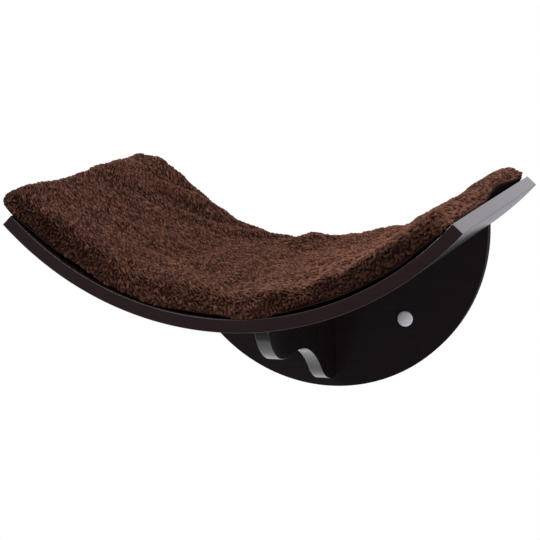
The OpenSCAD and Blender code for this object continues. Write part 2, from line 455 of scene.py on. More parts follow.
def build_plate(name, outline, thick, holes, place, rho=ARRIS):
    """A flat board: depth 0 is its front face and depth thick its back face.
    holes are (centre, [(radius, depth), ...]) from front to back; place maps (a, b, depth) to the frame."""
    rows = []
    for t in (0.0, 22.5, 45.0, 67.5, 90.0):
        c, s = math.cos(math.radians(t)), math.sin(math.radians(t))
        rows.append((rho * (1 - s), rho * (1 - c)))
    rings = [(inset(outline, o), d) for o, d in rows] + [(inset(outline, o), thick - d) for o, d in reversed(rows)]
    pts, faces, loops_front, loops_back = [], [], [], []

    def stack(levels, flip):
        ids = []
        for xy, d in levels:
            ids.append(range(len(pts), len(pts) + len(xy)))
            pts.extend((q[0], q[1], d) for q in xy)
        for a, b in zip(ids[:-1], ids[1:]):
            n = len(a)
            for i in range(n):
                k = (i + 1) % n
                f = (a[i], a[k], b[k], b[i])
                faces.append(f[::-1] if flip else f)
        loops_front.append(list(ids[0]))
        loops_back.append(list(ids[-1]))

    stack(rings, True)
    for centre, levels in holes:
        stack([(circle(centre, r), d) for r, d in levels], False)
    for loops, turn in ((loops_front, True), (loops_back, False)):
        flat = [i for l in loops for i in l]
        tris = geometry.tessellate_polygon([[Vector((pts[i][0], pts[i][1], 0)) for i in l] for l in loops])
        for t in tris:
            f = tuple(flat[i] for i in t)
            (ax, ay), (bx, by), (cx, cy) = (pts[i][:2] for i in f)
            ccw = (bx - ax) * (cy - ay) - (by - ay) * (cx - ax) > 0
            faces.append(f if ccw == turn else f[::-1])
    p = np.array(pts)
    e1, e2, e3 = np.diff(place(np.array([0.0, 1, 0, 0]), np.array([0.0, 0, 1, 0]), np.array([0.0, 0, 0, 1])), axis=0)
    if np.linalg.det([e1, e1 + e2, e1 + e2 + e3]) > 0:      # all faces look outwards
        faces = [f[::-1] for f in faces]
    ob = new_object(name, make_mesh(name, place(p[:, 0], p[:, 1], p[:, 2]), faces))
    # the cut edge of the board takes the second material
    cut = np.zeros(len(ob.data.polygons), np.int32)
    cut[: len(outline) * (len(rings) - 1)] = 1
    ob.data.polygons.foreach_set("material_index", cut)
    weighted_normals(ob)
    return ob


def arc2(c, r, a0, a1, step=2.5):
    n = max(2, int(abs(math.radians(a1 - a0)) * r / step))
    t = np.radians(np.linspace(a0, a1, n + 1))
    return [(c[0] + r * math.cos(q), c[1] + r * math.sin(q)) for q in t]


def build_back_board():
    d = ZC - BOARD_Z
    up = (BOARD_R ** 2 - RO ** 2 + d ** 2) / (2 * d)
    tip = math.degrees(math.asin(up / BOARD_R))
    low = arc2((0, BOARD_Z), BOARD_R, 180 - tip, 360 + tip)
    at = math.degrees(math.asin(math.sqrt(BOARD_R ** 2 - up ** 2) / RO))
    top = arc2((0, ZC), RO + 0.03, -90 + at, -90 - at)
    outline = low + top[1:-1]
    wall = [(6.25, 0.0), (6.0, 0.25), (6.0, 4.0), (2.75, 4.0), (2.75, 11.75), (3.0, 12.0)]
    screw = [(2.2, 0.0), (2.06, 0.2), (2.06, 9.6), (4.05, 11.58), (4.05, 11.8), (4.25, 12.0)]
    holes = [((-78.0, 0.0), wall), ((78.0, 0.0), wall), ((0.0, Z0 - 32), screw), ((0.0, Z0 - 74), screw)]
    return build_plate("back_half_moon", outline, BOARD_T, holes,
                       lambda a, b, c: np.stack([a, c - BOARD_T, b], 1))


def build_bracket():
    h1 = np.array([125.0, -136.0])
    h2 = np.array([125.0 - math.sqrt(131.0 ** 2 - 81.0 ** 2), -55.0])
    meet = h1 + (h2 - h1) * 85.0 / 131.0
    a_hollow = math.degrees(math.atan2(meet[1] - h1[1], meet[0] - h1[0]))
    a_lobe = math.degrees(math.atan2(meet[1] - h2[1], meet[0] - h2[0]))
    outline = [(12.03, -0.03), (12.03, -101.0)]
    outline += arc2(h2, 46.0, -90, a_lobe)
    outline += arc2(h1, 85.0, a_hollow, 90)[1:]
    outline += arc2((154.0, -5.0), 46.0, -90, 0)
    outline += [(200.0, -0.03)]
    return build_plate("lobed_bracket", outline, BRACKET_T, [],
                       lambda a, b, c: np.stack([BRACKET_T / 2 - c, -a, Z0 + b], 1))


# ------------------------------------------------------------------ screw caps
def build_cap(name, side):
    """A push-in cap, turned: a domed head with a rounded rim and a hollow skirt in the recess."""
    ball = (7.5 ** 2 + 1.3 ** 2) / 2.6
    dome = [(r, 3.0 - ball + math.sqrt(ball ** 2 - r * r)) for r in np.linspace(6.8, 0.0, 12)[:-1]]
    prof = [(2.3, 0.0), (4.55, 0.0), (4.7, -0.15), (4.7, -2.85), (4.85, -3.0), (5.5, -3.0), (5.7, -2.7), (5.7, 0.0),
            (7.3, 0.0), (7.44, 0.06), (7.5, 0.2), (7.5, 1.28), (7.43, 1.56), (7.22, 1.76)] + dome
    n = 72
    t = np.arange(n) * 2 * math.pi / n
    pts = [(r * math.cos(a), d, r * math.sin(a)) for r, d in prof for a in t]
    faces = []
    for k in range(len(prof) - 1):
        for i in range(n):
            j = (i + 1) % n
            faces.append((k * n + i, k * n + j, (k + 1) * n + j, (k + 1) * n + i))
    inside, tip = len(pts), len(pts) + 1
    pts += [(0, 0, 0), (0, 3.0, 0)]
    last = (len(prof) - 1) * n
    for i in range(n):
        j = (i + 1) % n
        faces.append((inside, j, i))
        faces.append((tip, last + i, last + j))
    p = np.array(pts, float)
    xyz = np.stack([side * 78.0 + p[:, 0], -BOARD_T - 0.02 - p[:, 1], p[:, 2]], 1)
    ob = new_object(name, make_mesh(name, xyz, faces))
    weighted_normals(ob, 40)
    return ob


# ------------------------------------------------------------------ tapes
def strip_solid(phi0, y0, y1, width, r_in, r_out, ripple, rng):
    """A thin woven band that follows the arc, with slightly wavy long edges."""
    n_w, n_l = 18, 100
    pts, faces = [], []
    half = width / 2 / RI
    ys = np.linspace(y0, y1, n_l + 1)
    wob = np.interp(ys, np.linspace(y0, y1, 14), rng.normal(0, ripple, 14))
    for r in (r_in, r_out):
        for j, y in enumerate(ys):
            f = np.linspace(-half, half, n_w + 1) + wob[j] / RI
            pts.append(arc_point(phi0 + f, np.full_like(f, y), np.full_like(f, r)))
    pts = np.concatenate(pts)
    layer = (n_w + 1) * (n_l + 1)
    at = lambda j, i, l: l * layer + j * (n_w + 1) + i
    for j in range(n_l):
        for i in range(n_w):
            faces.append((at(j, i, 0), at(j, i + 1, 0), at(j + 1, i + 1, 0), at(j + 1, i, 0)))
            faces.append((at(j, i, 1), at(j + 1, i, 1), at(j + 1, i + 1, 1), at(j, i + 1, 1)))
    for j in range(n_l):
        faces.append((at(j, 0, 0), at(j + 1, 0, 0), at(j + 1, 0, 1), at(j, 0, 1)))
        faces.append((at(j, n_w, 0), at(j, n_w, 1), at(j + 1, n_w, 1), at(j + 1, n_w, 0)))
    for i in range(n_w):
        faces.append((at(0, i, 0), at(0, i, 1), at(0, i + 1, 1), at(0, i + 1, 0)))
        faces.append((at(n_l, i, 0), at(n_l, i + 1, 0), at(n_l, i + 1, 1), at(n_l, i, 1)))
    return pts, faces


def build_tape(name, side, kind):
    """Hook tape on the seat or loop tape under the cushion, with its hooks or loops as small bent threads."""
    rng = np.random.default_rng(11 + side + (5 if kind == "hook" else 0))
    phi0 = math.radians(33.0) * side
    y0, y1, width = -240.5, -40.5, 25.0
    if kind == "hook":
        r_in, r_out, sign = RI - 0.50, RI - 0.02, -1.0       # hooks rise towards the arc's axis
        root, tall, thread = r_in, 0.68, 0.17
        prof = [(0.0, 0.0), (0.0, 0.42), (0.10, 0.62), (0.30, 0.66), (0.42, 0.46)]
    else:
        r_in, r_out, sign = RI - 2.69, RI - 2.25, 1.0
        root, tall, thread = r_out, 0.72, 0.13
        prof = [(-0.42, 0.0), (-0.40, 0.40), (-0.12, 0.70), (0.22, 0.62), (0.40, 0.36), (0.40, 0.0)]
    pts, faces = strip_solid(phi0, y0, y1, width, r_in, r_out, 0.12, rng)
    pts, faces = [pts], list(faces)
    base = len(pts[0])
    pitch = 1.75
    nx, ny = int((width - 4.0) / pitch), int((y1 - y0 - 2.0) / pitch)
    prof = np.array(prof)
    m = len(prof)
    for a in range(nx):
        for b in range(ny):
            cu = -(width - 4.0) / 2 + (a + 0.5) * pitch + rng.normal(0, 0.12)
            cy = y0 + 1.0 + (b + 0.5 + 0.5 * (a % 2)) * pitch + rng.normal(0, 0.12)
            if cy > y1 - 1.0:
                continue
            turn = (0.0 if a % 2 else math.pi) + rng.normal(0, 0.25) if kind == "hook" else rng.uniform(0, 2 * math.pi)
            c, s = math.cos(turn), math.sin(turn)
            across = np.array([-s, c])
            ring = []
            for q in range(m):
                d0 = prof[min(q + 1, m - 1)] - prof[max(q - 1, 0)]
                d0 = d0 / np.linalg.norm(d0)
                n0 = np.array([-d0[1], d0[0]])
                for e1, e2 in ((1, 0), (0, 1), (-1, 0), (0, -1)):
                    off = prof[q] + n0 * thread * e1
                    u = off[0] * c + across[0] * thread * e2
                    v = off[0] * s + across[1] * thread * e2
                    ring.append((cu + u, cy + v, root + sign * min(max(off[1], -0.03), tall)))
            ring = np.array(ring)
            pts.append(arc_point(phi0 + ring[:, 0] / RI, ring[:, 1], ring[:, 2]))
            for q in range(m - 1):
                for e in range(4):
                    f = (base + 4 * q + e, base + 4 * q + (e + 1) % 4, base + 4 * q + 4 + (e + 1) % 4, base + 4 * q + 4 + e)
                    faces.append(f[::int(sign)])
            faces.append((base + 3, base + 2, base + 1, base)[::int(sign)])
            faces.append(tuple(base + 4 * (m - 1) + e for e in range(4))[::int(sign)])
            base += 4 * m
    me = make_mesh(name, np.concatenate(pts), faces)
    me.set_sharp_from_angle(angle=math.radians(50))
    return new_object(name, me)


# ------------------------------------------------------------------ cushion
CA, CB = 228.5, 137.7          # half length along the arc and half depth
CS, CY = -10.0, -140.0         # its middle
RP, RE, RB = 13.0, 9.0, 2.4    # corner radius in plan, radius of the upper and lower edge
GRID = 4.6                     # spacing of the coarse grid
TAPE_S, TAPE_Y = math.radians(33.0) * RI, -140.5   # middle of the tapes


def curve(x, table):
    """A smooth line through a few (place, value) pairs."""
    t = np.array(sorted(table), float)
    i = np.clip(np.searchsorted(t[:, 0], x) - 1, 0, len(t) - 2)
    slope = np.gradient(t[:, 1], t[:, 0])
    h = t[i + 1, 0] - t[i, 0]
    q = np.clip((x - t[i, 0]) / h, 0, 1)
    a, b = t[i, 1], t[i + 1, 1]
    return ((1 + 2 * q) * (1 - q) ** 2 * a + q * (1 - q) ** 2 * h * slope[i]
            + q * q * (3 - 2 * q) * b + q * q * (q - 1) * h * slope[i + 1])


FRONT_RIM = [(-51, 13.0), (-49.4, 16.8), (-47, 20.8), (-44, 24.8), (-41, 27.6), (-35, 28.5), (-30, 28), (-24.5, 25), (-21, 22.5), (-15, 23.5),
             (-10, 23), (-6, 21.5), (2, 18), (6, 21), (9, 23.5), (11, 23), (14.7, 20.5), (18, 22.5), (20.5, 24.5),
             (23, 22.8), (26, 23.5), (30, 23.5), (35, 24), (40, 23), (48, 20)]
REAR_RIM = [(-50, 20.5), (-48, 25.6), (-46, 28.6), (-44, 29.6), (-41.5, 30.6), (-39, 31.6), (-35, 30.5), (-31, 29.2),
            (-27.5, 26.2), (-24, 24.4), (-18, 22.8), (-12, 21.8), (-8.8, 23), (-6, 24.8), (-3.1, 28.9), (0, 27),
            (3, 25.8), (6, 26.6), (9, 26.4), (14, 26.7), (17.5, 26.9), (20, 26.0), (23, 26.5), (27, 27.4), (31, 27.8), (35, 26.6),
            (42, 22.2), (48, 19)]
LEFT_RIM = [(-280, 8.4), (-275, 12.6), (-269, 17.6), (-257, 20.4), (-230, 20.8), (-201, 19.0), (-176, 17.6), (-155, 18.2), (-133, 19.4),
            (-104, 23.2), (-77, 22), (-49, 19.2), (-20, 16.0), (-4, 19.8)]
RIGHT_RIM = [(-280, 18), (-268, 19.5), (-236, 18.5), (-197, 19), (-151, 20), (-104, 22.2), (-60, 21.2), (-20, 20.4), (-4, 19.6)]
# height of the sewn lower edge over the seat, along the front and along the right end
LOW_EDGE = [(-52, 0.9), (-47, 1.0), (-41.3, 3.9), (-35.7, 4.8), (-30.4, 6.0), (-25, 3.8), (-20, 3.2), (-15.2, 1.9), (-9.1, 3.3),
            (-2.3, 3.0), (3.1, 1.0), (7.1, 1.1), (11.2, 2.7), (15.3, 3.7), (21, 3.6), (26.5, 3.6), (31, 3.3), (34.5, 2.8),
            (38.7, 3.6), (44, 2.4), (48, 1.0)]
LOW_RIGHT = [(-280, 1.0), (-200, 1.0), (-170, 1.4), (-150, 2.2), (-135, 4.0), (-120, 6.0), (-100, 8.4), (-85, 9.0),
             (-65, 7.4), (-45, 5.5), (-25, 3.4), (0, 2.4)]
# painted light and shade on the front side, by place along the arc: lighter where the value is positive, darker where
# it is negative
PAINTED_LIGHT_FRONT = [(-52, -0.3), (-42, -0.65), (-33, 0.1), (-22, 0.9), (-8, 1.2), (2, 1.0), (10, 0.5), (20, -0.3), (30, -0.9), (38, -0.9), (48, -0.3)]
# how far the pile of the front hangs down over the seam
DROOP = [(-52, 0.0), (-38, 0.4), (-32, 2.0), (-29, 2.2), (-23, 2.7), (-17, 2.3), (-11, 1.8), (-8, 1.3), (-5, 0.5), (-2, 1.2),
         (1, 3.2), (4, 3.9), (7, 3.5), (10, 0.9), (16, 0.4), (30, 0.4), (40, 0.4), (43, 1.8), (46, 2.6), (50, 2.0)]
# corners that the filling pushes out: place, and how far along the arc and in depth
PLUMP = [(CS - CA, CY - CB, 0.7, -2.8), (CS + CA, CY + CB, 2.6, 0.5)]
# folds of the top: (phi, y) from, (phi, y) to, height, half width
FOLDS = [((-39, -48), (-24, -14), 4.8, 8.5), ((-36, -64), (-20, -34), -3.8, 11.0),
         ((-46, -236), (-22, -262), -3.0, 13.0),
         ((5, -240), (27, -238), 3.8, 6.5), ((6, -217), (31, -210), -4.0, 8.0), ((8, -194), (31, -178), 4.2, 7.0),
         ((6, -162), (29, -146), -3.0, 8.5), ((12, -118), (32, -92), 2.2, 9.0), ((2, -84), (24, -66), -1.6, 10.0),
         ((-8, -30), (6, -22), 2.6, 8.0), ((-16, -60), (4, -52), -1.8, 12.0),
         ((-30, -196), (-14, -224), 1.6, 14.0), ((-44, -150), (-30, -140), 1.8, 16.0), ((-44, -108), (-34, -96), -1.6, 12.0),
         ((34, -250), (44, -200), 2.0, 9.0), ((36, -150), (45, -120), -2.2, 9.0), ((36, -70), (45, -40), 0.8, 9.0)]


def top_height(phi_deg, y):
    """Height of the cushion's top over the seat, without the pile."""
    base = 20.3 + 0.8 * np.cos(np.radians(phi_deg * 5.0)) * np.sin(y / 31.0)
    s = RI * np.radians(phi_deg) - CS
    d_front, d_rear = CB + (y - CY), CB - (y - CY)
    d_left, d_right = CA + s, CA - s
    out = np.array(base)
    left_reach = 19.0 - 13.0 * np.clip((y + 62.0) / 45.0, 0, 1)         # the left end is narrow at the raised rear corner
    for d, rim, reach in ((d_front, curve(phi_deg, FRONT_RIM), 19.0), (d_rear, curve(phi_deg, REAR_RIM), 20.0),
                          (d_left, curve(y, LEFT_RIM), left_reach), (d_right, curve(y, RIGHT_RIM), 17.0)):
        w = np.exp(-np.clip(d - 7.0, 0, None) ** 2 / (2 * reach ** 2))
        out = out + (rim - out) * w
    return out + folds(phi_deg, y)


def folds(phi_deg, y):
    """The folds of the top alone, as a height."""
    out = np.zeros(np.shape(y))
    a = np.stack([RI * np.radians(phi_deg), y], -1)
    for (p0, y0), (p1, y1), high, half in FOLDS:
        b0, b1 = np.array([RI * math.radians(p0), y0]), np.array([RI * math.radians(p1), y1])
        t = ((a - b0) @ (b1 - b0)) / ((b1 - b0) @ (b1 - b0))
        tc = np.clip(t, 0, 1)
        dist = np.linalg.norm(a - (b0 + tc[..., None] * (b1 - b0)), axis=-1)
        fade = np.sin(np.pi * np.clip(0.12 + 0.76 * tc, 0, 1))
        out = out + high * fade * np.exp(-(dist / half) ** 2)
    return out


def half_lines(half, edge, step):
    inner = spaced(-half + edge, half - edge, step)
    return np.array([-half, -half + 0.586 * edge] + inner + [half - 0.586 * edge, half])


def plan_place(sb, yb):
    """Rounds the corners of the plan and draws the sides in between the corners."""
    d_s = np.clip(np.abs(sb) - (CA - RP), 0, None)
    d_y = np.clip(np.abs(yb) - (CB - RP), 0, None)
    both = (d_s > 0) & (d_y > 0)
    far = np.maximum(d_s, d_y)
    n = np.maximum(np.hypot(d_s, d_y), 1e-9)
    k = np.where(both, far / n, 1.0)
    s = np.sign(sb) * (np.minimum(np.abs(sb), CA - RP) + d_s * k)
    y = np.sign(yb) * (np.minimum(np.abs(yb), CB - RP) + d_y * k)
    s2 = s * (1 - (np.where(s < 0, 3.4, 2.8) / CA) * (1 - (y / CB) ** 2))
    y2 = y * (1 - (np.where(y < 0, 1.6, 2.2) / CB) * (1 - (s / CA) ** 2))
    return s2 + CS, y2 + CY


def under_height(s, y):
    """Height of the base cloth's underside over the seat: it lies on the loop tapes and droops beside them."""
    h = np.full(np.shape(s), 0.5)
    for side in (-1, 1):
        d = np.hypot(np.clip(np.abs(s - side * TAPE_S) - 12.7, 0, None), np.clip(np.abs(y - TAPE_Y) - 100.3, 0, None))
        h = np.maximum(h, 0.5 + 2.27 * np.exp(-(d / 12.0) ** 2))
    return h


def hem_rise(s, y, d_front, d_right):
    """How far the sewn edge stands off the seat above that, along the front and the right end."""
    u = under_height(s, y) + 0.9
    f = np.clip(curve(np.degrees(s / RI), LOW_EDGE) - u, 0, None) * np.exp(-np.clip(d_front, 0, None) / 15.0)
    r = np.clip(curve(y, LOW_RIGHT) - u, 0, None) * np.exp(-np.clip(d_right, 0, None) / 13.0)
    return np.maximum(f, r)


class Cushion:
    """The coarse closed form of the cushion as a quad grid: top, sides and underside."""

    def __init__(self):
        us, vs = half_lines(CA, RE, GRID), half_lines(CB, RE, GRID)
        nu, nv = len(us), len(vs)
        self.us, self.vs = us, vs
        around = ([(i, 0) for i in range(nu - 1)] + [(nu - 1, j) for j in range(nv - 1)]
                  + [(i, nv - 1) for i in range(nu - 1, 0, -1)] + [(0, j) for j in range(nv - 1, 0, -1)])
        self.around = around
        sb, yb, kind, level = [], [], [], []

        def add(s, y, k, f):
            sb.append(s), yb.append(y), kind.append(k), level.append(f)
            return len(sb) - 1

        top = [[add(us[i], vs[j], 0, 0.0) for j in range(nv)] for i in range(nu)]
        rows = [[top[i][j] for i, j in around]]
        for k, f in ((1, 0.586), (1, 1.0), (2, 0.33), (2, 0.67), (3, 1.0), (3, 0.586)):
            rows.append([add(us[i], vs[j], k, f) for i, j in around])
        bottom = [[add(us[i], vs[j], 4, 0.0) for j in range(nv)] for i in range(nu)]
        rows.append([bottom[i][j] for i, j in around])
        self.rows, self.top, self.bottom = rows, top, bottom
        n = len(around)
        self.top_faces = [(top[i][j], top[i + 1][j], top[i + 1][j + 1], top[i][j + 1]) for i in range(nu - 1) for j in range(nv - 1)]
        self.side_faces = []
        for a, b in zip(rows[:-1], rows[1:]):
            for p in range(n):
                q = (p + 1) % n
                self.side_faces.append((a[p], b[p], b[q], a[q]))
        self.bottom_faces = [(bottom[i][j], bottom[i][j + 1], bottom[i + 1][j + 1], bottom[i + 1][j]) for i in range(nu - 1) for j in range(nv - 1)]
        self.sb, self.yb = np.array(sb), np.array(yb)
        self.kind, self.level = np.array(kind), np.array(level)
        self.place()

    def place(self):
        sb, yb, kind, f = self.sb, self.yb, self.kind, self.level
        e = np.minimum(CA - np.abs(sb), CB - np.abs(yb))
        e2, drop = e.copy(), np.zeros_like(e)
        t = np.clip((RE - e) / RE, 0, 1)                       # top face near its edge
        near = (kind == 0) & (t > 0)
        e2 = np.where(near, RE - RE * t / np.sqrt(1 + t * t), e2)
        drop = np.where(near, RE - RE / np.sqrt(1 + t * t), drop)
        t = np.clip(1 - f, 0, 1)                                # side just below the edge
        up = kind == 1
        e2 = np.where(up, RE - RE / np.sqrt(1 + t * t), e2)
        drop = np.where(up, RE - RE * t / np.sqrt(1 + t * t), drop)
        mid = kind == 2
        e2 = np.where(mid, -0.9, e2)
        low = kind == 3
        e2 = np.where(low, RB - RB / np.sqrt(1 + t * t), e2)
        rise = np.where(low, RB - RB * t / np.sqrt(1 + t * t), 0.0)
        tb = np.clip((RB - e) / RB, 0, 1)
        under = (kind == 4)
        e2 = np.where(under & (tb > 0), RB - RB * tb / np.sqrt(1 + tb * tb), e2)
        rise = np.where(under & (tb > 0), RB - RB / np.sqrt(1 + tb * tb), rise)
        s1 = np.sign(sb) * np.where(e2 > e, np.minimum(np.abs(sb), CA - e2), np.where(np.abs(sb) >= CA - 1e-6, CA - e2, np.abs(sb)))
        y1 = np.sign(yb) * np.where(e2 > e, np.minimum(np.abs(yb), CB - e2), np.where(np.abs(yb) >= CB - 1e-6, CB - e2, np.abs(yb)))
        s, y = plan_place(s1, y1)
        plump = np.select([kind == 1, kind == 2, kind == 3], [0.62 * f - 0.12, 0.75 + 0.38 * f, 0.25 + 0.6 * (f > 0.9)], 0.0)
        for cs, cy, out, fore in PLUMP:
            w = plump * np.exp(-((s - cs) ** 2 + (y - cy) ** 2) / (2 * 17.0 ** 2))
            s, y = s + out * w, y + fore * w
        phi = s / RI
        deg = np.degrees(phi)
        ht = top_height(deg, y)
        hb = under_height(s, y) + 0.9 + hem_rise(s, y, CB + yb, CA - sb)
        ev = np.minimum(RE, np.maximum(ht - hb - RB - 0.6, 2.5))       # a low corner has a flatter edge
        ev = ev * (1 - 0.42 * np.clip((deg + 4.0) / 10.0, 0, 1) * np.clip((44.0 - deg) / 6.0, 0, 1) * np.clip(1 - (CB + yb) / 16.0, 0, 1))
        over = ht - drop * ev / RE
        h = np.select([kind == 0, kind == 1, kind == 2, kind == 3], [over, over, (ht - ev) + (hb + RB - ht + ev) * f, hb + rise], hb + rise)
        self.s, self.y, self.h, self.hb = s, y, h, hb
        self.xyz = arc_point(phi, y, RI - h)


def neighbours_mean(values, edges, n):
    out = np.zeros_like(values)
    cnt = np.zeros(n)
    np.add.at(out, edges[:, 0], values[edges[:, 1]])
    np.add.at(out, edges[:, 1], values[edges[:, 0]])
    np.add.at(cnt, edges[:, 0], 1)
    np.add.at(cnt, edges[:, 1], 1)
    return out / cnt[:, None]


def simulate(c):
    """Cloth under a light inner pressure, a little larger than its form, so that it puckers.
    The broad swelling is taken out again and the puckers stay; a point moves 2.4 mm at most
    and the corners keep their place."""
    me = make_mesh("cushion_sim", c.xyz, c.top_faces + c.side_faces + c.bottom_faces)
    ob = new_object("cushion_sim", me)
    g = ob.vertex_groups.new(name="held")
    held = np.where(c.kind >= 3)[0]
    g.add([int(i) for i in held], 1.0, "REPLACE")
    m = ob.modifiers.new("cloth", "CLOTH")
    st = m.settings
    st.quality = 6
    st.mass = 0.25
    st.tension_stiffness = st.compression_stiffness = 14.0
    st.shear_stiffness = 6.0
    st.bending_stiffness = 0.35
    st.air_damping = 2.0
    st.use_pressure = True
    st.uniform_pressure_force = 3.0
    st.vertex_group_mass = "held"
    st.pin_stiffness = 1.0
    st.shrink_min = -0.035
    st.effector_weights.gravity = 0.0
    m.collision_settings.use_collision = False
    m.collision_settings.use_self_collision = False
    m.point_cache.frame_start, m.point_cache.frame_end = 1, 24
    sc = bpy.context.scene
    for fr in range(1, 23):
        sc.frame_set(fr)
    dg = bpy.context.evaluated_depsgraph_get()
    ev = ob.evaluated_get(dg)
    got = np.zeros(len(ev.data.vertices) * 3, np.float32)
    ev.data.vertices.foreach_get("co", got)
    got = got.reshape(-1, 3).astype(float) / MM
    sc.frame_set(1)
    ed = np.zeros(len(me.edges) * 2, np.int32)
    me.edges.foreach_get("vertices", ed)
    ed = ed.reshape(-1, 2)
    d = got - c.xyz
    low = d.copy()
    for _ in range(36):
        low = 0.4 * low + 0.6 * neighbours_mean(low, ed, len(d))
    d = d - 0.97 * low
    size = np.linalg.norm(d, axis=1, keepdims=True)
    d *= np.minimum(0.75, 2.4 / np.maximum(size, 1e-9))
    off = np.hypot(CA - np.abs(c.sb), CB - np.abs(c.yb))
    d *= np.clip((off - 16.0) / 26.0, 0, 1)[:, None]
    d[held] = 0
    bpy.data.objects.remove(ob)
    bpy.data.meshes.remove(me)
    return d


def lattice_noise(p, cell, rng):
    """Smooth random field of about unit spread over the points p."""
    lo = p.min(0) - cell
    q = (p - lo) / cell
    n = np.ceil(q.max(0)).astype(int) + 2
    g = rng.normal(0, 1, tuple(n))
    i = np.floor(q).astype(int)
    f = q - i
    f = f * f * (3 - 2 * f)
    out = np.zeros(len(p))
    for dx in (0, 1):
        for dy in (0, 1):
            for dz in (0, 1):
                w = (f[:, 0] if dx else 1 - f[:, 0]) * (f[:, 1] if dy else 1 - f[:, 1]) * (f[:, 2] if dz else 1 - f[:, 2])
                out += w * g[i[:, 0] + dx, i[:, 1] + dy, i[:, 2] + dz]
    return out


def scatter(points, gap, rng):
    """A subset of the points in which no two are closer than their gap."""
    cell = float(gap.min())
    taken = {}
    keep = []
    order = rng.permutation(len(points))
    keys = np.floor(points / cell).astype(int)
    reach = int(math.ceil(gap.max() / cell))
    for n in order:
        kx, ky, kz = keys[n]
        p, g = points[n], gap[n]
        ok = True
        for x in range(kx - reach, kx + reach + 1):
            for y in range(ky - reach, ky + reach + 1):
                for z in range(kz - reach, kz + reach + 1):
                    for m in taken.get((x, y, z), ()):
                        q = points[m]
                        if (p[0] - q[0]) ** 2 + (p[1] - q[1]) ** 2 + (p[2] - q[2]) ** 2 < g * g:
                            ok = False
                            break
                    if not ok:
                        break
                if not ok:
                    break
            if not ok:
                break
        if ok:
            taken.setdefault((kx, ky, kz), []).append(n)
            keep.append(n)
    return np.array(keep)


def side_uv(c):
    """Face-corner UVs in one square: the top in the middle, the four sides as strips below it."""
    scale = 1.0 / 474.0
    uv = []
    for f in c.top_faces:
        uv += [((c.sb[v] + CA + 8) * scale, (c.yb[v] + CB + 160) * scale) for v in f]
    nu, nv = len(c.us), len(c.vs)
    ends = [0, nu - 1, nu + nv - 2, 2 * nu + nv - 3, 2 * (nu + nv - 2)]
    depth = [0.0, 4.0, 8.0, 13.0, 18.0, 23.0, 25.0, 27.0]
    n = len(c.around)
    for r in range(len(c.rows) - 1):
        for p in range(n):
            k = next(i for i in range(4) if ends[i] <= p < ends[i + 1])
            a, b = c.around[p], c.around[(p + 1) % n]
            along = []
            for i, j in (a, b):
                if k == 0:
                    along.append(c.us[i] + CA)
                elif k == 1:
                    along.append(c.vs[j] + CB)
                elif k == 2:
                    along.append(CA - c.us[i])
                else:
                    along.append(CB - c.vs[j])
            y0 = 150.0 - 36.0 * k
            for q, d in ((0, depth[r]), (0, depth[r + 1]), (1, depth[r + 1]), (1, depth[r])):
                uv.append(((along[q] + 8) * scale, (y0 - d) * scale))
    return uv


